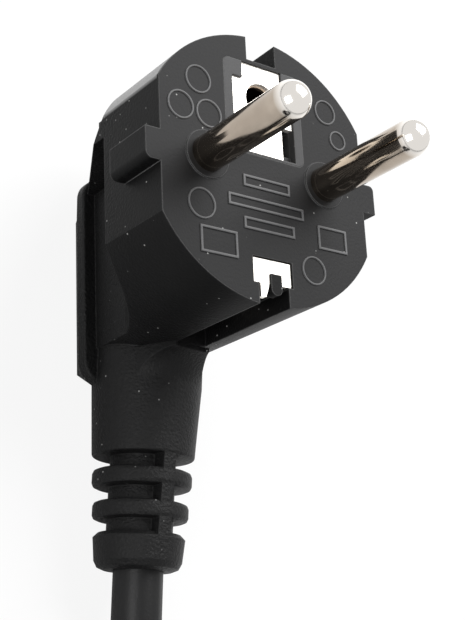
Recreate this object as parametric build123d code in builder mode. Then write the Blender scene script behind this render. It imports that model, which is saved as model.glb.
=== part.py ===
from build123d import *
from math import cos, pi, radians, sin, tan
import os

# Mains lead lying on a table: angled two-pin plug on its back, cord folded into a hank,
# appliance connector lying inside the hank. +Z follows the pins, the cord leaves along -Y,
# and z = 0 is the table, straight below the middle of the two pins.

# Plug sizes
face_height = 39.2
pin_diameter = 4.8
pin_length = 19.0
pin_pitch = 19.0
disc_radius = 18.8
disc_centre_y = 0.2
disc_half_width = 16.45
disc_depth = 13.3
wall_depth = 29.0
ear_reach = 18.6
ear_top = 1.8
ear_bottom = -2.4
ear_depth = 8.35
notch_half_width = 2.4
notch_top_floor = 15.5
notch_bottom_floor = -15.7
boss_radius = 3.25
boss_height = 0.25
earth_offset = 10.0
earth_hole_radius = 2.6
earth_sleeve_radius = 2.45
earth_sleeve_length = 12.0
waist_half_width = 7.8
flange_half_width = 9.75
flange_front = 8.7
flange_back = 7.0
flange_top = 9.0
flange_bottom = -22.3
flange_top_corner = 3.2
flange_bottom_corner = 3.6
scoop_top = 6.2

# Neck, strain relief and cord
cord_diameter = 7.0
cord_radius = cord_diameter / 2
neck_drop = 3.0
neck_lean = 3.2
neck_start_y = -22.0
neck_axis_z = 9.3
neck_root_radius = 7.83
neck_end_radius = 7.18
neck_length = 10.2
neck_blend = 4.0
relief_core_radius = 4.6
ring_radii = (6.95, 6.65)
ring_starts = (12.1, 16.5)
ring_width = 2.4
ring_rounding = 0.6
collar_start = 20.7
collar_end = 25.6
collar_radius = 6.35
collar_end_radius = 5.95
web_width = 1.9
web_reach = 7.1
jacket_end = 2.0

# Hank
tie_thickness = 0.6
tie_width = 10.0
layer_low = tie_thickness + cord_radius
layer_high = layer_low + cord_diameter
hank_centre_x = -28.0
hank_near_y = -96.0
hank_leg = 135.0
hank_inner_radius = 21.0
hank_outer_radius = hank_inner_radius + cord_diameter
hank_top = layer_high + cord_radius

# Connector
nose_width = 23.8
nose_height = 15.6
nose_length = 17.0
nose_bevel = 4.6
grip_width = 27.4
grip_height = 20.6
grip_length = 17.5
connector_z = grip_height / 2
connector_back_y = -187.0
connector_face_y = connector_back_y - grip_length - nose_length
tail_length = 26.0
contact_pitch = 14.0
contact_rise = 4.0
slot_width = 2.4
slot_height = 4.8

core_diameter = 2.5
conductor_diameter = 1.3

os.makedirs("parts", exist_ok=True)

lean = radians(neck_lean)
drop = radians(neck_drop)
neck_axis = Vector(-sin(lean) * cos(drop), -cos(lean) * cos(drop), -sin(drop))
neck_side = Vector(cos(lean), -sin(lean), 0)
neck_origin = Vector(0, neck_start_y, neck_axis_z)
profile_plane = Plane(origin=neck_origin, x_dir=neck_axis, z_dir=-neck_side)
face_plane = Plane.XY.offset(face_height)
side_plane = Plane.XZ


def along_neck(distance):
    return neck_origin + neck_axis * distance


# Cord
def bend_radii(points):
    """The largest tangent arc at each corner that leaves a tenth of each run straight."""
    found = []
    for before, corner, after in zip(points, points[1:], points[2:]):
        run_in = Vector(*corner) - Vector(*before)
        run_out = Vector(*after) - Vector(*corner)
        turn = radians(run_in.get_angle(run_out))
        found.append(0.45 * min(run_in.length, run_out.length) / tan(turn / 2))
    return found


tube_points = [
    tuple(along_neck(jacket_end)),
    tuple(along_neck(collar_end + 4.4)),
    (-0.7, hank_near_y + 15.5, layer_low),
    (0.0, hank_near_y + 1.0, layer_low),
]
lead_points = [
    (-56.0, hank_near_y - 29.0, layer_high),
    (-56.0, hank_near_y - 12.0, layer_high + 0.9),
    (-56.0, hank_near_y + 6.3, layer_high + 3.9),
    (-49.7, hank_near_y + 17.2, layer_high + 7.2),
    (-38.8, hank_near_y + 23.5, layer_high + 9.3),
    (-26.2, hank_near_y + 23.5, layer_high + 10.0),
    (-14.2, hank_near_y + 16.6, layer_high + 9.2),
    (-7.4, hank_near_y + 4.4, layer_high + 8.0),
    (-7.0, hank_near_y - 10.5, layer_high + 7.3),
    (-12.5, hank_near_y - 26.5, layer_high + 4.8),
    (-20.5, hank_near_y - 43.0, layer_high + 1.2),
    (hank_centre_x, connector_back_y + tail_length + 2.0, connector_z),
    (hank_centre_x, connector_back_y + 9.0, connector_z),
]
tube_radii = bend_radii(tube_points)
lead_radii = bend_radii(lead_points)
print("cord tube radii", [round(r, 1) for r in tube_radii])
print("cord lead radii", [round(r, 1) for r in lead_radii])

with BuildPart() as cord_tube:
    with BuildLine() as tube_path:
        FilletPolyline(*tube_points, radius=tube_radii)
    with BuildSketch(Plane(origin=tube_points[0], z_dir=neck_axis)):
        Circle(cord_radius)
    sweep()

with BuildPart() as cord_lead:
    with BuildLine() as lead_path:
        FilletPolyline(*lead_points, radius=lead_radii)
    with BuildSketch(Plane(origin=lead_points[0], z_dir=lead_path.wires()[0] % 0)):
        Circle(cord_radius)
    sweep()

for name, made, path in (("tube", cord_tube, tube_path), ("lead", cord_lead, lead_path)):
    expected = pi * cord_radius**2 * path.wires()[0].length
    print(name, "volume", round(made.part.volume, 1), "section times length", round(expected, 1))

with BuildPart() as cord_hank:
    with BuildSketch(Plane.XY.offset(tie_thickness)):
        with Locations((hank_centre_x, hank_near_y - hank_leg / 2)):
            SlotCenterToCenter(hank_leg, 2 * (hank_outer_radius + cord_radius), rotation=90)
            SlotCenterToCenter(
                hank_leg,
                2 * (hank_inner_radius - cord_radius),
                rotation=90,
                mode=Mode.SUBTRACT,
            )
    extrude(amount=hank_top - tie_thickness)
    fillet(cord_hank.edges().filter_by(Plane.XY), radius=cord_radius - 0.2)
    add(cord_tube.part, mode=Mode.SUBTRACT)
    add(cord_lead.part, mode=Mode.SUBTRACT)

leg_pair_x = {
    "cord_tie": hank_centre_x + hank_inner_radius + cord_radius,
    "cord_tie_far": hank_centre_x - hank_inner_radius - cord_radius,
}
ties = {}
for tie_name, tie_x in leg_pair_x.items():
    with BuildPart() as tie:
        with BuildSketch(Plane.XZ.offset(hank_leg / 2 - hank_near_y - tie_width / 2)):
            with Locations((tie_x, hank_top / 2 + tie_thickness / 2)):
                RectangleRounded(
                    2 * cord_diameter + 2 * tie_thickness,
                    hank_top + tie_thickness,
                    cord_radius - 0.2 + tie_thickness,
                )
                RectangleRounded(
                    2 * cord_diameter,
                    hank_top - tie_thickness,
                    cord_radius - 0.2,
                    mode=Mode.SUBTRACT,
                )
        extrude(amount=tie_width)
        tie.part.label = tie_name
    ties[tie_name] = tie

# Pieces inside the plug
carrier_half_width = 6.3
carrier_bottom = 1.75
carrier_top = 15.0
carrier_depth = 10.0
bridge_depth = 4.0
strap_thickness = 0.8
strap_recess = 0.35
strap_wide = 4.95
strap_narrow = 3.1
groove_skin = 0.2
leg_width = 2 * notch_half_width - 0.4
leg_bottom = notch_bottom_floor + groove_skin
window_top = 7.0
clip_depth = 12.0
hook_x = 0.45
hook_radius = 0.85
earth_sleeve_outer = earth_sleeve_radius + 0.6
shank_radius = 2.2
barrel_radius = 1.9
barrel_length = 4.0

pins = {}
for pin_name, pin_x in (("pin_left", -pin_pitch / 2), ("pin_right", pin_pitch / 2)):
    with BuildPart() as pin:
        with BuildSketch(face_plane.offset(-carrier_depth)):
            with Locations((pin_x, 0)):
                Circle(shank_radius)
        extrude(amount=carrier_depth + boss_height)
        with BuildSketch(face_plane.offset(boss_height)):
            with Locations((pin_x, 0)):
                Circle(pin_diameter / 2)
        extrude(amount=pin_length - boss_height)
        fillet(pin.faces().sort_by(Axis.Z)[-1].edges(), radius=pin_diameter / 2 - 0.05)
        with BuildSketch(face_plane.offset(-carrier_depth - barrel_length)):
            with Locations((pin_x, 0)):
                Circle(barrel_radius)
                Circle(conductor_diameter / 2, mode=Mode.SUBTRACT)
        extrude(amount=barrel_length)
        pin.part.label = pin_name
    pins[pin_name] = pin

# The hook holds the lower end of the strap at the edge of the face
with BuildSketch(face_plane) as hook_outline:
    with Locations((hook_x, -15.175)):
        Rectangle(2 * hook_radius, 1.95)
    with Locations((hook_x, -16.15)):
        Circle(hook_radius)

with BuildPart() as earth_strap:
    with BuildSketch(face_plane.offset(-strap_recess - strap_thickness)):
        with BuildLine():
            Polyline(
                (-strap_narrow, 2.0),
                (strap_narrow, 2.0),
                (strap_narrow, 7.0),
                (strap_wide - 0.1, 7.0),
                (strap_wide - 0.1, 12.6),
                (notch_half_width - 0.1, 12.6),
                (notch_half_width - 0.1, notch_top_floor),
                (-notch_half_width + 0.1, notch_top_floor),
                (-notch_half_width + 0.1, 12.6),
                (-strap_wide + 0.1, 12.6),
                (-strap_wide + 0.1, 7.0),
                (-strap_narrow, 7.0),
                close=True,
            )
        make_face()
        with Locations((0, 14.0)):
            Rectangle(6.4, 2.8)
        with Locations((0, earth_offset)):
            Circle(earth_hole_radius, mode=Mode.SUBTRACT)
    extrude(amount=strap_thickness)
    with BuildSketch(face_plane.offset(-strap_recess)):
        with Locations((0, notch_top_floor - strap_thickness / 2)):
            Rectangle(leg_width, strap_thickness)
    extrude(amount=-clip_depth)
    with BuildSketch(face_plane.offset(-strap_recess - strap_thickness)):
        with Locations((0, -13.9)):
            Rectangle(6.1, 3.2)
        with BuildLine():
            Polyline(
                (-1.85, -15.0),
                (-1.85, -17.3),
                (-1.1, -17.3),
                (-0.45, -15.5),
                (-0.45, -15.0),
                close=True,
            )
        make_face()
    extrude(amount=strap_thickness)
    with BuildSketch(face_plane.offset(-strap_recess)):
        with Locations((0, leg_bottom + strap_thickness / 2)):
            Rectangle(leg_width, strap_thickness)
    extrude(amount=-clip_depth)
    with BuildSketch(face_plane.offset(-strap_recess - clip_depth)):
        with Locations((0, (notch_top_floor + leg_bottom) / 2)):
            Rectangle(leg_width, notch_top_floor - leg_bottom)
        with Locations((0, earth_offset)):
            Circle(earth_sleeve_outer + 1.6)
            Circle(earth_sleeve_outer, mode=Mode.SUBTRACT)
    extrude(amount=strap_thickness)
    extrude(hook_outline.sketch, amount=-strap_recess - strap_thickness, mode=Mode.SUBTRACT)
    earth_strap.part.label = "earth_strap"

with BuildPart() as earth_socket:
    with BuildSketch(face_plane.offset(-strap_recess - strap_thickness)):
        with Locations((0, earth_offset)):
            Circle(earth_sleeve_outer)
            Circle(earth_sleeve_radius, mode=Mode.SUBTRACT)
            with Locations((0, -earth_sleeve_radius - 0.3)):
                Rectangle(1.0, 1.4, mode=Mode.SUBTRACT)
    extrude(amount=-earth_sleeve_length)
    with BuildSketch(face_plane.offset(-strap_recess - strap_thickness - earth_sleeve_length)):
        with Locations((0, earth_offset)):
            Circle(barrel_radius)
            Circle(conductor_diameter / 2, mode=Mode.SUBTRACT)
        with Locations((0, earth_offset + 1.9)):
            Rectangle(1.6, 1.6)
    extrude(amount=-barrel_length)
    earth_socket.part.label = "earth_socket"

with BuildPart() as contact_carrier:
    with BuildSketch(face_plane):
        with Locations((0, (carrier_top + carrier_bottom) / 2)):
            RectangleRounded(2 * carrier_half_width, carrier_top - carrier_bottom, 1.0)
    extrude(amount=-carrier_depth)
    with BuildSketch(face_plane.offset(-carrier_depth)):
        Rectangle(2 * carrier_half_width + 15.0, 8.0)
        with Locations((0, -9.0)):
            Rectangle(2 * carrier_half_width - 5.0, 12.0)
    extrude(amount=bridge_depth)
    with BuildSketch(face_plane):
        with Locations((0, 7.35)):
            Rectangle(2 * strap_wide, 10.5)
        with Locations((0, 14.0)):
            Rectangle(6.6, 2.8)
    extrude(amount=-strap_recess - strap_thickness, mode=Mode.SUBTRACT)
    with BuildSketch(face_plane):
        with Locations((strap_wide - 0.93, 5.15), (0.93 - strap_wide, 5.15)):
            Rectangle(1.8, 3.7)
    extrude(amount=-6.0, mode=Mode.SUBTRACT)
    with BuildSketch(face_plane):
        with Locations((0, earth_offset)):
            Circle(earth_sleeve_outer)
    extrude(amount=-carrier_depth, mode=Mode.SUBTRACT)
    for inner in (pins["pin_left"], pins["pin_right"], earth_strap, earth_socket):
        add(inner.part, mode=Mode.SUBTRACT)
    contact_carrier.part.label = "contact_carrier"

barrel_foot = face_height - carrier_depth - barrel_length
earth_foot = face_height - strap_recess - strap_thickness - earth_sleeve_length - barrel_length
core_plane = Plane(origin=along_neck(jacket_end), x_dir=neck_side, z_dir=-neck_axis)
core_routes = {
    "plug_live": [(-1.5, 1.0, 0), (-5.2, -5.0, 17.0), (-pin_pitch / 2, 0.0, barrel_foot)],
    "plug_neutral": [(1.5, 1.0, 0), (5.2, -5.0, 17.0), (pin_pitch / 2, 0.0, barrel_foot)],
    "plug_earth": [(0.0, -1.7, 0), (0.0, 3.0, 12.0), (0.0, earth_offset, earth_foot)],
}
plug_cores = {}
plug_conductors = {}
for core_name, (start, middle, foot) in core_routes.items():
    first = core_plane.from_local_coords(start)
    second = first - neck_axis * 5.0
    fourth = (foot[0], foot[1], foot[2] - 1.6)
    route = [tuple(first), tuple(second), middle, fourth, foot]
    with BuildPart() as core:
        with BuildLine() as core_path:
            FilletPolyline(*route, radius=1.6)
        with BuildSketch(Plane(origin=route[0], z_dir=-neck_axis)):
            Circle(core_diameter / 2)
        sweep()
    with BuildPart() as conductor:
        with BuildLine():
            FilletPolyline(*route[:-1], (foot[0], foot[1], foot[2] + barrel_length), radius=1.6)
        with BuildSketch(Plane(origin=route[0], z_dir=-neck_axis)):
            Circle(conductor_diameter / 2)
        sweep()
        conductor.part.label = core_name + "_conductor"
    with BuildPart() as sleeve:
        add(core.part)
        add(conductor.part, mode=Mode.SUBTRACT)
        sleeve.part.label = core_name + "_core"
    plug_cores[core_name] = sleeve
    plug_conductors[core_name] = conductor

# Plug body
with BuildPart() as plug_body:
    with BuildSketch(face_plane):
        with Locations((0, disc_centre_y)):
            Circle(disc_radius)
        Rectangle(2 * disc_half_width, 60, mode=Mode.INTERSECT)
    extrude(amount=-wall_depth)
    for side in (-1, 1):
        with BuildSketch(side_plane.offset(-30)):
            with BuildLine():
                ThreePointArc(
                    (side * disc_half_width, face_height - disc_depth),
                    (side * 11.3, 22.4),
                    (side * waist_half_width, 16.5),
                )
                Polyline(
                    (side * waist_half_width, 16.5),
                    (side * waist_half_width, 0),
                    (side * 30, 0),
                    (side * 30, face_height - disc_depth),
                    (side * disc_half_width, face_height - disc_depth),
                )
            make_face()
        extrude(amount=60, mode=Mode.SUBTRACT)
    with BuildSketch(Plane.XY.offset(flange_back)):
        with Locations((0, (flange_top - 17.0) / 2)):
            Rectangle(2 * waist_half_width, flange_top + 17.0)
    extrude(amount=12.0 - flange_back)
    with BuildSketch(profile_plane):
        with BuildLine():
            Polyline(
                (-6.0, 0),
                (-6.0, waist_half_width),
                (0, neck_root_radius),
                (neck_length, neck_end_radius),
                (neck_length, 0),
                close=True,
            )
        make_face()
    revolve(axis=Axis(origin=neck_origin, direction=neck_axis))
    neck_rim = plug_body.edges().filter_by(GeomType.CIRCLE).sort_by(Axis.Y)[0]
    fillet(neck_rim, radius=0.4)
    with BuildPart(mode=Mode.PRIVATE) as flare:
        wall_start = disc_centre_y - disc_radius
        arc_start = neck_start_y - wall_start
        blend_foot = neck_root_radius - 0.04
        with BuildSketch(profile_plane):
            with BuildLine():
                ThreePointArc(
                    (arc_start, blend_foot + neck_blend),
                    (arc_start + 0.293 * neck_blend, blend_foot + 0.293 * neck_blend),
                    (arc_start + neck_blend, blend_foot),
                )
                Polyline(
                    (arc_start + neck_blend, blend_foot),
                    (arc_start + neck_blend, 0),
                    (arc_start - 0.6, 0),
                    (arc_start - 0.6, blend_foot + neck_blend),
                    (arc_start, blend_foot + neck_blend),
                )
            make_face()
        revolve(axis=Axis(origin=neck_origin, direction=neck_axis))
        with BuildSketch(Plane.XZ.offset(14.0)):
            with BuildLine():
                Polyline((-7.4, 10.0), (7.4, 10.0), (2.6, 21.3), (-2.6, 21.3), close=True)
            make_face()
        extrude(amount=14.0, mode=Mode.INTERSECT)
    add(flare.part)
    with BuildSketch(profile_plane):
        with Locations(((neck_length + collar_end) / 2 - 0.5, relief_core_radius / 2)):
            Rectangle(collar_end - neck_length - 0.5, relief_core_radius)
        for start, reach in zip(ring_starts, ring_radii):
            with BuildLine():
                Polyline(
                    (start, 0),
                    (start, reach - ring_rounding),
                    (start + 0.3 * ring_rounding, reach - 0.3 * ring_rounding),
                    (start + ring_rounding, reach),
                    (start + ring_width - ring_rounding, reach),
                    (start + ring_width - 0.3 * ring_rounding, reach - 0.3 * ring_rounding),
                    (start + ring_width, reach - ring_rounding),
                    (start + ring_width, 0),
                    close=True,
                )
            make_face()
        with BuildLine():
            Polyline(
                (collar_start, 0),
                (collar_start, collar_radius - ring_rounding),
                (collar_start + ring_rounding, collar_radius),
                (collar_end - 1.2, collar_end_radius + 0.1),
                (collar_end - 0.35, collar_end_radius - 0.35),
                (collar_end, collar_end_radius - 1.2),
                (collar_end, 0),
                close=True,
            )
        make_face()
    revolve(axis=Axis(origin=neck_origin, direction=neck_axis))
    with BuildSketch(profile_plane):
        with BuildLine():
            Polyline(
                (neck_length - 1.0, -web_reach),
                (neck_length - 1.0, web_reach),
                (collar_start + ring_rounding, collar_radius - 0.05),
                (collar_start + ring_rounding, 0.05 - collar_radius),
                close=True,
            )
        make_face()
    extrude(amount=web_width / 2, both=True)
    with BuildPart(mode=Mode.PRIVATE) as dome:
        with BuildSketch(Plane.XZ.offset(-disc_centre_y)):
            with BuildLine():
                Line((0, face_height - disc_depth), (disc_radius, face_height - disc_depth))
                Spline(
                    (disc_radius, face_height - disc_depth),
                    (17.4, face_height - 16.2),
                    (13.7, face_height - 24.0),
                    (10.8, flange_front),
                )
                Polyline((10.8, flange_front), (9.4, 3.0), (6.5, 0), (0, 0))
                Line((0, 0), (0, face_height - disc_depth))
            make_face()
        revolve(axis=Axis((0, disc_centre_y, 0), (0, 0, 1)))
        with BuildSketch(Plane.XY):
            with Locations((0, scoop_top + 20.0)):
                Rectangle(2 * disc_half_width, 40.0)
        extrude(amount=face_height, mode=Mode.INTERSECT)
    add(dome.part)
    with BuildPart(mode=Mode.PRIVATE) as back_cap:
        with BuildSketch(Plane.XY.offset(flange_back)) as cap_outline:
            with Locations((0, (flange_top + flange_bottom) / 2)):
                Rectangle(2 * flange_half_width, flange_top - flange_bottom)
            fillet(vertices().group_by(Axis.Y)[0], radius=flange_bottom_corner)
            fillet(vertices().group_by(Axis.Y)[-1], radius=flange_top_corner)
        extrude(amount=flange_front - flange_back)
        fillet(back_cap.edges().group_by(Axis.Z)[-1], radius=0.4)
        extrude(cap_outline.sketch, amount=-flange_back, taper=28)
    add(back_cap.part)
    with BuildSketch(face_plane):
        with Locations((0, (ear_top + ear_bottom) / 2)):
            Rectangle(2 * ear_reach, ear_top - ear_bottom)
        fillet(vertices().group_by(Axis.X)[0].sort_by(Axis.Y)[0], radius=0.95)
        fillet(vertices().group_by(Axis.X)[-1].sort_by(Axis.Y)[-1], radius=0.7)
    extrude(amount=-ear_depth)
    with BuildSketch(face_plane):
        with Locations((0, notch_top_floor + 5.0)):
            Rectangle(2 * notch_half_width, 10.0)
    extrude(amount=-16.0, mode=Mode.SUBTRACT)
    with BuildSketch(face_plane):
        with Locations((0, notch_bottom_floor - 5.0)):
            Rectangle(2 * notch_half_width, 10.0)
    extrude(amount=-18.5, mode=Mode.SUBTRACT)
    with BuildSketch(face_plane):
        with Locations((-pin_pitch / 2, 0), (pin_pitch / 2, 0)):
            Circle(boss_radius)
    extrude(amount=boss_height)
    with BuildSketch(face_plane):
        with Locations((0, -13.95)):
            Rectangle(6.3, 3.5)
    extrude(amount=-strap_recess - strap_thickness, mode=Mode.SUBTRACT)
    extrude(hook_outline.sketch, amount=-strap_recess - strap_thickness)
    with BuildSketch(face_plane.offset(-window_top)):
        with Locations((0, leg_bottom - 0.15)):
            Rectangle(leg_width, 0.3)
    extrude(amount=window_top - clip_depth - strap_recess, mode=Mode.SUBTRACT)
    with BuildSketch(Plane.XY):
        Rectangle(200, 400)
    extrude(amount=-20, mode=Mode.SUBTRACT)
    with BuildSketch(face_plane):
        with Locations((0, (carrier_top + carrier_bottom) / 2)):
            RectangleRounded(2 * carrier_half_width, carrier_top - carrier_bottom, 1.0)
    extrude(amount=-carrier_depth, mode=Mode.SUBTRACT)
    with BuildSketch(face_plane.offset(-strap_recess - strap_thickness)):
        with Locations((0, earth_offset)):
            Circle(earth_sleeve_outer)
    extrude(amount=-earth_sleeve_length, mode=Mode.SUBTRACT)
    inner_pieces = [contact_carrier, earth_strap, earth_socket, cord_tube]
    inner_pieces += list(pins.values())
    inner_pieces += list(plug_cores.values()) + list(plug_conductors.values())
    for inner in inner_pieces:
        add(inner.part, mode=Mode.SUBTRACT)
    plug_body.part.label = "plug_body"

# Connector
nose_plane = Plane(
    origin=(hank_centre_x, connector_face_y, connector_z), x_dir=(1, 0, 0), z_dir=(0, 1, 0)
)
back_plane = nose_plane.offset(nose_length + grip_length)
contact_places = [
    (-contact_pitch / 2, contact_rise / 2),
    (contact_pitch / 2, contact_rise / 2),
    (0, -contact_rise / 2),
]

contacts = {}
for contact_name, place in zip(("live", "neutral", "earth"), contact_places):
    with BuildPart() as contact:
        with BuildSketch(nose_plane.offset(1.5)):
            with Locations(place):
                Rectangle(slot_width + 1.2, slot_height - 0.4)
                Rectangle(slot_width - 0.6, slot_height - 0.4, mode=Mode.SUBTRACT)
        extrude(amount=13.0)
        with BuildSketch(nose_plane.offset(14.5)):
            with Locations(place):
                Rectangle(slot_width + 1.2, slot_height - 0.4)
        extrude(amount=0.8)
        with BuildSketch(nose_plane.offset(15.3)):
            with Locations(place):
                Circle(barrel_radius - 0.1)
                Circle(conductor_diameter / 2, mode=Mode.SUBTRACT)
        extrude(amount=5.0)
        contact.part.label = "connector_" + contact_name + "_contact"
    contacts[contact_name] = contact

with BuildPart() as connector_insert:
    with BuildSketch(nose_plane):
        with BuildLine():
            half_w = nose_width / 2 - 2.0
            half_h = nose_height / 2 - 2.0
            Polyline(
                (-half_w, -half_h + 3.6),
                (-half_w, half_h),
                (half_w, half_h),
                (half_w, -half_h + 3.6),
                (half_w - 3.6, -half_h),
                (-half_w + 3.6, -half_h),
                close=True,
            )
        make_face()
    extrude(amount=nose_length)
    connector_insert_block = connector_insert.part
    with BuildSketch(nose_plane):
        with Locations(*contact_places):
            Rectangle(slot_width, slot_height)
    extrude(amount=1.5, mode=Mode.SUBTRACT)
    with BuildSketch(nose_plane.offset(1.5)):
        with Locations(*contact_places):
            Rectangle(slot_width + 1.2, slot_height - 0.4)
    extrude(amount=13.8, mode=Mode.SUBTRACT)
    with BuildSketch(nose_plane.offset(15.3)):
        with Locations(*contact_places):
            Circle(barrel_radius - 0.1)
    extrude(amount=1.7, mode=Mode.SUBTRACT)
    connector_insert.part.label = "connector_insert"

connector_cores = {}
connector_conductors = {}
lead_end = Vector(*lead_points[-1])
core_starts = ((-1.5, 1.0), (1.5, 1.0), (0.0, -1.7))
for (core_name, place), start in zip(zip(contacts, contact_places), core_starts):
    first = lead_end + Vector(start[0], 0, start[1])
    foot_y = connector_face_y + 20.3
    foot = Vector(hank_centre_x + place[0], foot_y, connector_z + nose_plane.y_dir.Z * place[1])
    second = first + Vector(0, -4.0, 0)
    third = foot + Vector(0, 3.0, 0)
    route = [tuple(first), tuple(second), tuple(third), tuple(foot)]
    with BuildPart() as core:
        with BuildLine():
            FilletPolyline(*route, radius=1.6)
        with BuildSketch(Plane(origin=route[0], z_dir=(0, -1, 0))):
            Circle(core_diameter / 2)
        sweep()
    with BuildPart() as conductor:
        with BuildLine():
            FilletPolyline(*route[:-1], tuple(foot - Vector(0, 5.0, 0)), radius=1.6)
        with BuildSketch(Plane(origin=route[0], z_dir=(0, -1, 0))):
            Circle(conductor_diameter / 2)
        sweep()
        conductor.part.label = "connector_" + core_name + "_conductor"
    with BuildPart() as sleeve:
        add(core.part)
        add(conductor.part, mode=Mode.SUBTRACT)
        sleeve.part.label = "connector_" + core_name + "_core"
    connector_cores[core_name] = sleeve
    connector_conductors[core_name] = conductor

with BuildPart() as connector_body:
    with BuildSketch(nose_plane):
        with BuildLine():
            half_w = nose_width / 2
            half_h = nose_height / 2
            Polyline(
                (-half_w, -half_h + nose_bevel),
                (-half_w, half_h),
                (half_w, half_h),
                (half_w, -half_h + nose_bevel),
                (half_w - nose_bevel, -half_h),
                (-half_w + nose_bevel, -half_h),
                close=True,
            )
        make_face()
        fillet(vertices(), radius=1.0)
    extrude(amount=nose_length)
    with BuildSketch(nose_plane.offset(nose_length)):
        RectangleRounded(grip_width, grip_height, 3.0)
    extrude(amount=grip_length)
    grip_ends = connector_body.edges().group_by(Axis.Y)[-1]
    fillet(grip_ends, radius=2.0)
    with BuildSketch(back_plane.offset(-1.0)):
        Circle(7.0)
    with BuildSketch(back_plane.offset(tail_length)):
        Circle(5.2)
    loft()
    for step in range(5):
        with BuildSketch(back_plane.offset(4.0 + 4.4 * step)):
            Rectangle(20, 20)
            Circle(relief_core_radius + 0.3, mode=Mode.SUBTRACT)
            Rectangle(web_width, 20, mode=Mode.SUBTRACT)
        extrude(amount=1.8, mode=Mode.SUBTRACT)
    add(connector_insert_block, mode=Mode.SUBTRACT)
    inner_pieces = [cord_lead]
    inner_pieces += list(contacts.values())
    inner_pieces += list(connector_cores.values()) + list(connector_conductors.values())
    for inner in inner_pieces:
        add(inner.part, mode=Mode.SUBTRACT)
    connector_body.part.label = "connector_body"

cord_tube.part.label = "cord_tube"
cord_lead.part.label = "cord_lead"
cord_hank.part.label = "cord_hank"

finished = [plug_body, contact_carrier, earth_strap, earth_socket, cord_tube, cord_hank]
finished += [cord_lead, connector_body, connector_insert]
finished += list(pins.values()) + list(ties.values()) + list(contacts.values())
finished += list(plug_cores.values()) + list(plug_conductors.values())
finished += list(connector_cores.values()) + list(connector_conductors.values())
for piece in finished:
    solids = piece.part.solids()
    print(piece.part.label, len(solids), "solid", round(piece.part.volume, 1), "mm3")
    export_step(piece.part, "parts/" + piece.part.label + ".step")
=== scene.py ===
# %% [markdown]
# # A mains lead with an angled earthed plug
# The plug lies on its back with the pins up, the cord leaves it along -Y, and the length that
# a close picture doesn't need is folded into a tied hank, with the appliance connector in it.
# The CAD model is loaded first. It fixes every size, and the looks are built around it.

# %% Load the CAD model
from math import cos, pi, radians, sin

import bmesh
import bpy
from mathutils import Matrix, Vector


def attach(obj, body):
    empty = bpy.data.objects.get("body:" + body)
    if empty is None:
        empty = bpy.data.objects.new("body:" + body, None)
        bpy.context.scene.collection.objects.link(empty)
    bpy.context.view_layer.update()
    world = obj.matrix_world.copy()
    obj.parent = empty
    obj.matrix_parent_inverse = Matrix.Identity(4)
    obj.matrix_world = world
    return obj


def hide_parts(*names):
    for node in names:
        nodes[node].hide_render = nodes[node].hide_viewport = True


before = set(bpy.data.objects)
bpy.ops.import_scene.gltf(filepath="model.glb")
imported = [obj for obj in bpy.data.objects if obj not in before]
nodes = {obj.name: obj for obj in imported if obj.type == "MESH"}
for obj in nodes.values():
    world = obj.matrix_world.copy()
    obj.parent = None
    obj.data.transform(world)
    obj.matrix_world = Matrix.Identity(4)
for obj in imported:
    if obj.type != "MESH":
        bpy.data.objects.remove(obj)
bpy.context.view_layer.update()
scene = bpy.context.scene
scene.view_settings.view_transform = "Standard"
MM = 0.001

# %% [markdown]
# The camera stands low at the front left of the pins and looks down on the plug face. Its
# place was found from the pins, whose size is known. The picture is tall, so the sensor size
# counts along its height.

# %% Camera
SENSOR = 36.0
PICTURE_HEIGHT = 620.0
FOCAL_LENGTH_IN_PIXELS = 1223.22
camera_data = bpy.data.cameras.new("camera")
camera_data.lens = SENSOR * FOCAL_LENGTH_IN_PIXELS / PICTURE_HEIGHT
camera_data.clip_start = 0.01
camera = bpy.data.objects.new("camera", camera_data)
scene.collection.objects.link(camera)
stand = (-0.091863, -0.065530, 0.151269)
right = Vector((0.8045277, -0.04664109, 0.5920809))
up = Vector((-0.14691381, 0.95030125, 0.27448836))
back = -Vector((0.57545766, 0.30781835, -0.75769146))
turn = Matrix((right, up, back)).transposed().to_4x4()
camera.matrix_world = Matrix.Translation(stand) @ turn
scene.camera = camera
print("lens", round(camera_data.lens, 2))

# %% [markdown]
# The cord is one smooth curve from inside the neck of the plug to inside the connector. Its
# control points are the route: down to the table, four turns of the hank in two columns and
# two layers, then over the near end and down into the hollow. Each end loop has a control
# point every 30 degrees. The spline touches the middle of each step, so the points stand
# a little outside the loop.

# %% Pieces of the cord's route
CORD = 7.0 * MM
LOW, HIGH = 4.1 * MM, 11.1 * MM
NEAR, FAR = -96.0 * MM, -231.0 * MM
STEP = radians(30)


def end_loop(centre_x, radius, far, height):
    """Control points of half a turn; height gives z from the share of the turn done."""
    reach = radius / cos(STEP / 2)
    points = []
    for i in range(6):
        angle = STEP * (i + 0.5)
        side = cos(angle) if far else -cos(angle)
        y = FAR - reach * sin(angle) if far else NEAR + reach * sin(angle)
        points.append((centre_x + side * reach, y, height(angle / pi)))
    return points


def leg(x, radius, height, towards_far):
    """Three control points along a straight leg."""
    inset = radius * sin(STEP / 2)
    ys = (NEAR - inset, (NEAR + FAR) / 2, FAR + inset)
    return [(x, y, height) for y in (ys if towards_far else ys[::-1])]


def lying(share):
    return LOW


def rising(share):
    return LOW + CORD * sin(share * pi / 2)


def humped(share):
    return LOW + CORD * (sin(share * pi / 2) + cos(share * pi / 2))


print("the cord's layers lie at", LOW, "and", HIGH)

# %% [markdown]
# The route starts with the fall from the plug to the table. A row of the hank's turns holds the
# x of the leg that goes out, the x of the leg that comes home and the radius of the far loop, in
# millimetres, then the height, and the near loop after it as its middle, radius and climb. The
# last turn has no near loop, because the cord leaves the hank there.

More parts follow.
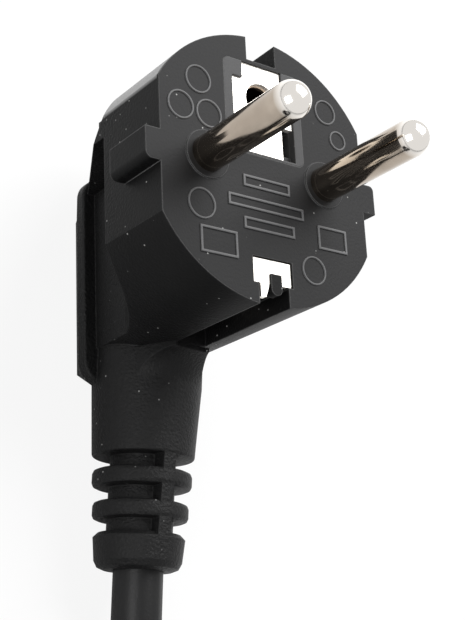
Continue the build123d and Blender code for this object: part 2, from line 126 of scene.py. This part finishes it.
# %% Cord route
HANK_MIDDLE = -28.0
route = [
    (-0.111 * MM, -23.99 * MM, 9.195 * MM),
    (-1.672 * MM, -51.91 * MM, 7.73 * MM),
    (-0.7 * MM, -80.5 * MM, LOW),
    (0.0, -95.0 * MM, LOW),
]
turns = [
    (0.0, -56.0, 28.0, LOW, (-31.5, 24.5, lying)),
    (-7.0, -49.0, 21.0, LOW, (HANK_MIDDLE, 21.0, rising)),
    (-7.0, -49.0, 21.0, HIGH, (-24.5, 24.5, humped)),
    (0.0, -56.0, 28.0, HIGH, None),
]
to_connector = [
    (-56.0, -125.0, 11.1),
    (-56.0, -108.0, 12.0),
    (-56.0, -89.7, 15.0),
    (-49.7, -78.8, 18.3),
    (-38.8, -72.5, 20.4),
    (-26.2, -72.5, 21.1),
    (-14.2, -79.4, 20.3),
    (-7.4, -91.6, 19.1),
    (-7.0, -106.5, 18.4),
    (-12.5, -122.5, 15.9),
    (-20.5, -139.0, 12.3),
    (-28.0, -159.0, 10.3),
    (-28.0, -178.0, 10.3),
]

for number, (out_x, home_x, radius, level, near_loop) in enumerate(turns):
    out_leg = leg(out_x * MM, radius * MM, level, True)
    home_leg = leg(home_x * MM, radius * MM, level, False)
    route += out_leg[1:] if number == 0 else out_leg
    route += end_loop(HANK_MIDDLE * MM, radius * MM, True, lambda share: level)
    route += home_leg if near_loop else home_leg[:2]
    if near_loop:
        middle, size, climb = near_loop
        route += end_loop(middle * MM, size * MM, False, climb)
route += [tuple(v * MM for v in point) for point in to_connector]
print("control points of the cord:", len(route))

# %% [markdown]
# A curve with a round bevel is the simplest cord: it stays smooth at every turn, its points can
# still be moved by hand, and it takes the place of the three rigid stand-ins of the CAD model.
# Sweeping a circle along a mesh would look the same, but could not be bent later. The bevel is
# one metre deep and each point's radius scales it down to half the cord, because Blender adds
# the points' radius to the curve's box.

# %% Cord curve
cord_curve = bpy.data.curves.new("mains_cord", "CURVE")
cord_curve.dimensions = "3D"
spline = cord_curve.splines.new("NURBS")
spline.points.add(len(route) - 1)
for point, place in zip(spline.points, route):
    point.co = (*place, 1.0)
    point.radius = CORD / 2
spline.order_u = 3
spline.use_endpoint_u = True
spline.resolution_u = 8
cord_curve.bevel_depth = 1.0
cord_curve.bevel_resolution = 6
cord_curve.use_fill_caps = True
cord = bpy.data.objects.new("mains_cord", cord_curve)
scene.collection.objects.link(cord)
print("length of the cord:", round(spline.calc_length(), 3))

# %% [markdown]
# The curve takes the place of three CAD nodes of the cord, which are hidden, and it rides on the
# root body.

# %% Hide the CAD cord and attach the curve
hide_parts("cord_tube", "cord_hank", "cord_lead")
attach(cord, "root")

# %% [markdown]
# The face carries raised marks. Here they are blank: rings, two small frames, and three long
# narrow ones in place of lines of text. They could be a texture or a bump, but real geometry
# catches the light at its edges, as moulded marks do. Each ring is a small profile spun round
# its own axis. Places and sizes are in millimetres from the middle of the pins.

# %% Shapes of the marks
FACE = 39.2 * MM
RAISE = 0.16 * MM
LINE = 0.3 * MM
RING_ROOT = 0.05 * MM
BAR_ROOT = 0.04 * MM
RINGS = [
    (-10.46, 10.24, 1.85),
    (-13.3, 5.95, 1.85),
    (-9.0, 5.75, 1.85),
    (10.68, 11.1, 1.7),
    (12.6, 7.3, 1.3),
    (-10.65, -6.8, 1.95),
    (6.75, -12.6, 1.85),
]
FRAMES = [
    (-8.26, -11.4, 5.3, 3.2),
    (10.3, -7.7, 4.6, 3.0),
    (-0.3, -2.2, 7.2, 1.3),
    (-0.5, -5.2, 11.8, 1.3),
    (-0.2, -8.0, 7.8, 1.3),
]


def ring(mesh, x, y, radius):
    """A raised ring with a slightly narrower top."""
    corners = [
        (radius - LINE / 2, FACE - RING_ROOT),
        (radius - LINE / 3, FACE + RAISE),
        (radius + LINE / 3, FACE + RAISE),
        (radius + LINE / 2, FACE - RING_ROOT),
    ]
    verts = [mesh.verts.new((x + r, y, z)) for r, z in corners]
    edges = [mesh.edges.new((verts[i], verts[(i + 1) % 4])) for i in range(4)]
    bmesh.ops.spin(
        mesh,
        geom=verts + edges,
        cent=(x, y, 0),
        axis=(0, 0, 1),
        angle=2 * pi,
        steps=40,
        use_merge=True,
    )


def bar(mesh, x, y, wide, tall):
    """A raised bar whose root sits just under the face."""
    place = Matrix.Translation((x, y, FACE + (RAISE - BAR_ROOT) / 2))
    size = Matrix.Diagonal((wide, tall, RAISE + BAR_ROOT, 1.0))
    bmesh.ops.create_cube(mesh, size=1.0, matrix=place @ size)


def frame_mark(mesh, x, y, wide, tall):
    """Four bars round an empty field."""
    for side in (-1, 1):
        bar(mesh, x, y + side * tall / 2, wide + LINE, LINE)
        bar(mesh, x + side * wide / 2, y, LINE, tall - LINE)


print("marks:", len(RINGS), "rings and", len(FRAMES), "frames")

# %% [markdown]
# All the marks are one mesh, because they are one moulding with the plug body and never part
# from it.

# %% Blank marks on the face
marks = bmesh.new()
for x, y, radius in RINGS:
    ring(marks, x * MM, y * MM, radius * MM)
for x, y, wide, tall in FRAMES:
    frame_mark(marks, x * MM, y * MM, wide * MM, tall * MM)
bmesh.ops.recalc_face_normals(marks, faces=marks.faces)
marks_data = bpy.data.meshes.new("face_marks")
marks.to_mesh(marks_data)
face_marks = bpy.data.objects.new("face_marks", marks_data)
scene.collection.objects.link(face_marks)
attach(face_marks, "root")
print("faces of the marks:", len(marks_data.polygons))

# %% [markdown]
# The background is white because the floor and the world are white for the camera, not because
# more light falls on the object. The table is a plain sheet of paper that mixes a white glow in
# where the camera looks, so it keeps a soft shadow under the plug.

# %% Floor
FLOOR_REACH = 1.2
GLOW_SHARE = 0.88
WHITE = (1, 1, 1, 1)
floor_mesh = bmesh.new()
bmesh.ops.create_grid(floor_mesh, x_segments=1, y_segments=1, size=FLOOR_REACH)
floor_data = bpy.data.meshes.new("floor")
floor_mesh.to_mesh(floor_data)
floor = bpy.data.objects.new("floor", floor_data)
scene.collection.objects.link(floor)
floor_finish = bpy.data.materials.new("white_table")
floor_finish.use_nodes = True
tree = floor_finish.node_tree
tree.nodes.clear()
output = tree.nodes.new("ShaderNodeOutputMaterial")
blend = tree.nodes.new("ShaderNodeMixShader")
paper = tree.nodes.new("ShaderNodeBsdfDiffuse")
paper.inputs["Color"].default_value = (0.82, 0.82, 0.82, 1)
glow = tree.nodes.new("ShaderNodeEmission")
glow.inputs["Color"].default_value = WHITE
rays = tree.nodes.new("ShaderNodeLightPath")
share = tree.nodes.new("ShaderNodeMath")
share.operation = "MULTIPLY"
share.inputs[1].default_value = GLOW_SHARE
tree.links.new(rays.outputs["Is Camera Ray"], share.inputs[0])
tree.links.new(share.outputs[0], blend.inputs["Fac"])
tree.links.new(paper.outputs[0], blend.inputs[1])
tree.links.new(glow.outputs[0], blend.inputs[2])
tree.links.new(blend.outputs[0], output.inputs["Surface"])
floor_data.materials.append(floor_finish)
print("floor reaches", FLOOR_REACH, "m from the middle")

# %% [markdown]
# The world has two whites. The camera, and rays that mirror or pass through something, see the
# full one, and everything else is lit by a weak one. One white for all would wash out the black.

# %% World
SKY_LIGHT = 0.2
world = bpy.data.worlds.new("studio")
scene.world = world
world.use_nodes = True
tree = world.node_tree
tree.nodes.clear()
output = tree.nodes.new("ShaderNodeOutputWorld")
soft = tree.nodes.new("ShaderNodeBackground")
soft.inputs["Color"].default_value = WHITE
soft.inputs["Strength"].default_value = SKY_LIGHT
white = tree.nodes.new("ShaderNodeBackground")
white.inputs["Color"].default_value = WHITE
white.inputs["Strength"].default_value = 1.0
rays = tree.nodes.new("ShaderNodeLightPath")
seen = tree.nodes.new("ShaderNodeMath")
seen.operation = "MAXIMUM"
either = tree.nodes.new("ShaderNodeMath")
either.operation = "MAXIMUM"
blend = tree.nodes.new("ShaderNodeMixShader")
tree.links.new(rays.outputs["Is Camera Ray"], seen.inputs[0])
tree.links.new(rays.outputs["Is Glossy Ray"], seen.inputs[1])
tree.links.new(seen.outputs[0], either.inputs[0])
tree.links.new(rays.outputs["Is Transmission Ray"], either.inputs[1])
tree.links.new(either.outputs[0], blend.inputs["Fac"])
tree.links.new(soft.outputs[0], blend.inputs[1])
tree.links.new(white.outputs[0], blend.inputs[2])
tree.links.new(blend.outputs[0], output.inputs["Surface"])
print("light from the world:", SKY_LIGHT)

# %% [markdown]
# A large soft lamp above the face and a weak one at the left leave the sides nearly black. Area
# lamps are used because small ones would put hard spots on the pins.

# %% Lamps
AIM = Vector((0, 0, 0.03))
for name, place, size, power in (
    ("top_box", (0.25, 0.35, 0.55), 0.5, 7.5),
    ("left_box", (-0.45, -0.2, 0.35), 0.35, 1.9),
):
    lamp = bpy.data.lights.new(name, "AREA")
    lamp.size = size
    lamp.energy = power
    holder = bpy.data.objects.new(name, lamp)
    turn = (AIM - Vector(place)).to_track_quat("-Z", "Y").to_matrix().to_4x4()
    holder.matrix_world = Matrix.Translation(place) @ turn
    scene.collection.objects.link(holder)
    print(name, "of", power, "W")

# %% [markdown]
# Every finish is a node material. Image textures could do it too, but they need unwrapped
# meshes and stay tied to one size. The insulation of the cores is the simplest one, so it comes
# first, with the helpers that all the others use: a cloudy noise that varies the colour, and a
# faint bump.

# %% Insulation


def start_material(name, roughness, metallic=0.0, specular=0.5):
    """A material, its shader and the object coordinates that all its patterns use."""
    made = bpy.data.materials.new(name)
    made.use_nodes = True
    shader = made.node_tree.nodes["Principled BSDF"]
    shader.inputs["Roughness"].default_value = roughness
    shader.inputs["Metallic"].default_value = metallic
    shader.inputs["Specular IOR Level"].default_value = specular
    where = made.node_tree.nodes.new("ShaderNodeTexCoord")
    return made, made.node_tree, shader, where.outputs["Object"]


def set_input(tree, socket, value):
    """Give an input a number, a colour or the output of another node."""
    if isinstance(value, (int, float)):
        socket.default_value = value
    elif isinstance(value, tuple):
        socket.default_value = (*value, 1)
    else:
        tree.links.new(value, socket)


def noise(tree, where, scale):
    made = tree.nodes.new("ShaderNodeTexNoise")
    made.inputs["Scale"].default_value = scale
    made.inputs["Detail"].default_value = 3.0
    tree.links.new(where, made.inputs["Vector"])
    return made.outputs["Fac"]


def mix_colour(tree, share, first, second):
    made = tree.nodes.new("ShaderNodeMix")
    made.data_type = "RGBA"
    tree.links.new(share, made.inputs[0])
    set_input(tree, made.inputs[6], first)
    set_input(tree, made.inputs[7], second)
    return made.outputs[2]


def add_bump(tree, shader, height, strength, distance, normal=None):
    made = tree.nodes.new("ShaderNodeBump")
    set_input(tree, made.inputs["Strength"], strength)
    made.inputs["Distance"].default_value = distance
    tree.links.new(height, made.inputs["Height"])
    if normal is not None:
        tree.links.new(normal, made.inputs["Normal"])
    tree.links.new(made.outputs[0], shader.inputs["Normal"])


def insulation(name, colour):
    """Soft coloured plastic round one core."""
    made, tree, shader, where = start_material(name, 0.4, specular=0.4)
    cloud = noise(tree, where, 500.0)
    base = mix_colour(tree, cloud, colour, tuple(0.75 * c for c in colour))
    tree.links.new(base, shader.inputs["Base Color"])
    add_bump(tree, shader, cloud, 0.2, 0.05 * MM)
    return made


brown = insulation("brown_insulation", (0.22, 0.1, 0.05))
blue = insulation("blue_insulation", (0.08, 0.2, 0.55))
green = insulation("green_insulation", (0.25, 0.5, 0.1))
print("insulation:", brown.name, blue.name, green.name)

# %% [markdown]
# Real metal is never one even tone, so a cloud of noise moves each metal between a bright and a
# dull colour and makes the dull places less polished. A flat colour would look like paint.

# %% Metals


def spread(tree, value, low, high, new_low=0.0, new_high=1.0):
    """Map one range to another, held at its ends."""
    made = tree.nodes.new("ShaderNodeMapRange")
    for socket, number in zip(range(1, 5), (low, high, new_low, new_high)):
        made.inputs[socket].default_value = number
    tree.links.new(value, made.inputs[0])
    return made.outputs[0]


def metal(name, bright, dull, roughness, scale):
    """Bare metal with a cloudy tone and polish."""
    made, tree, shader, where = start_material(name, roughness, metallic=1.0)
    cloud = noise(tree, where, scale)
    tone = mix_colour(tree, spread(tree, cloud, 0.35, 0.7), bright, dull)
    tree.links.new(tone, shader.inputs["Base Color"])
    polish = spread(tree, cloud, 0.3, 0.8, roughness, roughness * 1.7)
    tree.links.new(polish, shader.inputs["Roughness"])
    return made


nickel = metal("warm_nickel", (0.4, 0.345, 0.285), (0.33, 0.28, 0.23), 0.09, 300.0)
strip = metal("bright_strip", (0.97, 0.94, 0.89), (0.9, 0.87, 0.82), 0.45, 400.0)
copper = metal("bare_copper", (0.75, 0.42, 0.28), (0.6, 0.33, 0.2), 0.3, 900.0)
brass = metal("spring_brass", (0.78, 0.62, 0.36), (0.66, 0.5, 0.28), 0.3, 600.0)
print("metals:", nickel.name, strip.name, copper.name, brass.name)

# %% [markdown]
# Two metals change with height. The tips of the pins are paler than their shanks, a painted
# highlight, and the earth socket is bright at its mouth and dark inside, a painted shade where no
# light comes. Both read the Z of the object coordinates. A second material on some faces would
# give a hard line instead.

# %% Pin tips and earth socket
TIP_START, TIP_FULL = 55.4 * MM, 56.6 * MM
SOCKET_DARK, SOCKET_MOUTH = 37.5 * MM, 38.05 * MM


def position(tree, where):
    """The X, Y and Z of the object coordinates."""
    made = tree.nodes.new("ShaderNodeSeparateXYZ")
    tree.links.new(where, made.inputs[0])
    return made.outputs


tree = nickel.node_tree
shader = tree.nodes["Principled BSDF"]
place = position(tree, tree.nodes["Texture Coordinate"].outputs["Object"])
# The paler colour of the pin tips is a painted highlight.
tip_highlight = spread(tree, place["Z"], TIP_START, TIP_FULL)
plain = shader.inputs["Base Color"].links[0].from_socket
tree.links.new(mix_colour(tree, tip_highlight, plain, (0.74, 0.71, 0.67)), shader.inputs["Base Color"])

socket_steel_painted_shade, tree, shader, where = start_material("socket_steel_painted_shade", 0.4, metallic=1.0)
# Deep in the socket the dark colour is painted shade, where no light comes.
clear_of_painted_shade = spread(tree, position(tree, where)["Z"], SOCKET_DARK, SOCKET_MOUTH)
tone = mix_colour(tree, clear_of_painted_shade, (0.02, 0.016, 0.014), (0.5, 0.4, 0.32))
tree.links.new(tone, shader.inputs["Base Color"])
print("metals that change with height:", nickel.name, socket_steel_painted_shade.name)

# %% [markdown]
# Moulded black plastic shows its finish only in small things: a fine grain and specks of dust.
# Each edge also gets a thin painted highlight. A Bevel node rounds the sharp edges in the shading
# alone. Where its normal turns away from the true one there is an edge, and the tone is lifted
# there as a painted highlight. A bevel in the mesh would be rounder, but the CAD mesh stays as it
# is.

# %% Dust and edges
EDGE_ROUNDING = 0.28 * MM
DUST_SCALE = 800.0


def calculate(tree, operation, first, second):
    made = tree.nodes.new("ShaderNodeMath")
    made.operation = operation
    set_input(tree, made.inputs[0], first)
    set_input(tree, made.inputs[1], second)
    return made.outputs[0]


def rounded_normal(tree):
    made = tree.nodes.new("ShaderNodeBevel")
    made.samples = 6
    made.inputs["Radius"].default_value = EDGE_ROUNDING
    return made.outputs[0]


def dust_specks(tree, where, amount):
    """A round speck in some of the cells of a Voronoi pattern."""
    cells = tree.nodes.new("ShaderNodeTexVoronoi")
    cells.inputs["Scale"].default_value = DUST_SCALE
    tree.links.new(where, cells.inputs["Vector"])
    parts = tree.nodes.new("ShaderNodeSeparateColor")
    tree.links.new(cells.outputs["Color"], parts.inputs[0])
    small = spread(tree, cells.outputs["Distance"], 0.05, 0.11, 1.0, 0.0)
    chosen = spread(tree, parts.outputs[0], 0.80, 0.86)
    return calculate(tree, "MULTIPLY", calculate(tree, "MULTIPLY", small, chosen), amount)


def edge_share(tree, rounded):
    """How far the rounded normal turns away from the true one: zero on the flats."""
    geometry = tree.nodes.new("ShaderNodeNewGeometry")
    turned = tree.nodes.new("ShaderNodeVectorMath")
    turned.operation = "DOT_PRODUCT"
    tree.links.new(rounded, turned.inputs[0])
    tree.links.new(geometry.outputs["Normal"], turned.inputs[1])
    return spread(tree, turned.outputs["Value"], 0.97, 0.80, 0.0, 0.6)


print("edges look rounded by", EDGE_ROUNDING, "m")

# %% [markdown]
# Two places on the plug have painted light. Its face is paler than the walls, a painted light,
# apart from the small hook in the lower notch, which is as dark as the walls. The upper left wall
# is glossier, and paler as a painted sheen. Each place is a share between 0 and 1 that comes from
# the object coordinates, so no faces have to be picked.

# %% Places on the plug
HOOK_MIDDLE = 0.45 * MM
FACE_EDGE = (38.9 * MM, 39.15 * MM)
HOOK_SIDE = (0.88 * MM, 0.95 * MM)
HOOK_TOP = (-14.25 * MM, -14.15 * MM)
SHEEN_START = (8.8 * MM, 9.4 * MM)
SHEEN_SIDE = (-10.0 * MM, -13.0 * MM)
SHEEN_TOP = (38.7 * MM, 38.9 * MM)


def face_light_share(tree, place):
    """One on the plug's face, where its paler tone is painted light; zero on the walls and on the
    hook.
    """
    on_face = spread(tree, place["Z"], *FACE_EDGE)
    aside = calculate(tree, "SUBTRACT", place["X"], HOOK_MIDDLE)
    beside_hook = spread(tree, calculate(tree, "ABSOLUTE", aside, 0.0), *HOOK_SIDE)
    above_hook = spread(tree, place["Y"], *HOOK_TOP)
    off_hook = calculate(tree, "MAXIMUM", beside_hook, above_hook)
    return calculate(tree, "MULTIPLY", on_face, off_hook)


def painted_sheen_share(tree, place):
    """One on the upper left wall, up to the edge of the face, where the painted sheen goes."""
    high_up = spread(tree, place["Y"], *SHEEN_START)
    far_left = spread(tree, place["X"], *SHEEN_SIDE)
    below_face = spread(tree, place["Z"], *SHEEN_TOP, 1.0, 0.0)
    return calculate(tree, "MULTIPLY", high_up, calculate(tree, "MULTIPLY", far_left, below_face))


print("the tone of the face starts at", FACE_EDGE[0])

# %% [markdown]
# One function makes all the black plastics, because they differ only in tone, gloss and grain.
# Low on the plug the painted edge highlights are weaker than near the face, and the gloss and the
# grain are stronger. One even finish would be simpler, but it looks flat.

# %% Black plastic
# The edge tone is a painted highlight.
EDGE_HIGHLIGHT_TONE = (0.2, 0.2, 0.2)
# The paler tone of the upper left wall is a painted sheen.
PAINTED_SHEEN_TONE = (0.5, 0.5, 0.5)
DUST_TONE = (0.45, 0.45, 0.44)
EDGE_HEIGHTS = (27.0 * MM, 34.0 * MM)
GLOSS_HEIGHTS = (16.0 * MM, 22.0 * MM)
GRAIN_HEIGHTS = (20.0 * MM, 34.0 * MM)
CLOUD_SCALE = 160.0


def black_plastic(name, colour, roughness, specular, dust, grain, low_grain, lit_face_tone=None):
    """Black plastic; given a tone for the face, the plug's face gets it as painted light and its
    upper left wall a painted sheen.
    """
    made, tree, shader, where = start_material(name, roughness, specular=specular)
    rounded = rounded_normal(tree)
    place = position(tree, where)
    cloud = noise(tree, where, CLOUD_SCALE)
    base = mix_colour(tree, cloud, colour, tuple(c * 1.5 for c in colour))
    if lit_face_tone is not None:
        # On the plug the face's paler tone is painted light.
        base = mix_colour(tree, face_light_share(tree, place), base, lit_face_tone)
    near_face = spread(tree, place["Z"], *EDGE_HEIGHTS, 0.12, 1.0)
    # The paler edges are a painted highlight, weaker low on the plug.
    painted_edge_highlight = calculate(tree, "MULTIPLY", edge_share(tree, rounded), near_face)
    with_painted_light = mix_colour(tree, painted_edge_highlight, base, EDGE_HIGHLIGHT_TONE)
    gloss = spread(tree, place["Z"], *GLOSS_HEIGHTS, specular * 2.2, specular)
    if lit_face_tone is not None:
        # On the upper left wall: more gloss, and a painted sheen in the colour.
        painted_sheen = painted_sheen_share(tree, place)
        gloss = calculate(tree, "ADD", gloss, painted_sheen)
        with_painted_light = mix_colour(tree, calculate(tree, "MULTIPLY", painted_sheen, 0.35), with_painted_light, PAINTED_SHEEN_TONE)
    tree.links.new(gloss, shader.inputs["Specular IOR Level"])
    dusty = mix_colour(tree, dust_specks(tree, where, dust), with_painted_light, DUST_TONE)
    tree.links.new(dusty, shader.inputs["Base Color"])
    strength = spread(tree, place["Z"], *GRAIN_HEIGHTS, low_grain, 0.2)
    add_bump(tree, shader, noise(tree, where, grain), strength, 0.2 * MM, rounded)
    return made


WALL_TONE = (0.004, 0.004, 0.0041)
# The face tone below is painted light, paler than the walls.
LIT_FACE_TONE = (0.02, 0.02, 0.0205)
CARRIER_TONE = (0.042, 0.042, 0.043)
JACKET_TONE = (0.004, 0.004, 0.0042)
TIE_TONE = (0.015, 0.015, 0.015)
# The marks are the same plastic as the plug; their paler tone is a painted highlight.
MARK_HIGHLIGHT_TONE = (0.085, 0.085, 0.087)
plug_black = black_plastic("plug_black", WALL_TONE, 0.5, 0.07, 0.8, 2600.0, 0.85, LIT_FACE_TONE)
carrier_black = black_plastic("carrier_black", CARRIER_TONE, 0.5, 0.12, 0.3, 2500.0, 0.2)
jacket_black = black_plastic("jacket_black", JACKET_TONE, 0.4, 0.1, 0.15, 2600.0, 0.15)
tie_black = black_plastic("tie_black", TIE_TONE, 0.35, 0.3, 0.1, 900.0, 0.2)
mark_black_painted_highlight = black_plastic("mark_black_painted_highlight", MARK_HIGHLIGHT_TONE, 0.5, 0.15, 0.2, 2500.0, 0.2)
print("nodes of the plug's black:", len(plug_black.node_tree.nodes))

# %% [markdown]
# Each CAD node takes its finish by name. The pieces that repeat, such as the three cores at
# each end, are told apart by the ends of their names, and what isn't named is cord jacket.

# %% Give each piece its finish
finishes = {
    "plug_body": plug_black,
    "connector_body": plug_black,
    "contact_carrier": carrier_black,
    "connector_insert": carrier_black,
    "pin_left": nickel,
    "pin_right": nickel,
    "earth_strap": strip,
    "earth_socket": socket_steel_painted_shade,
    "cord_tie": tie_black,
    "cord_tie_far": tie_black,
}
endings = {
    "live_core": brown,
    "neutral_core": blue,
    "earth_core": green,
    "_conductor": copper,
    "_contact": brass,
}
for name, node in nodes.items():
    finish = finishes.get(name, jacket_black)
    for ending, tint in endings.items():
        if name.endswith(ending):
            finish = tint
    if node.material_slots:
        node.material_slots[0].material = finish
    else:
        node.data.materials.append(finish)
cord_curve.materials.append(jacket_black)
marks_data.materials.append(mark_black_painted_highlight)
print("finishes:", len(bpy.data.materials))
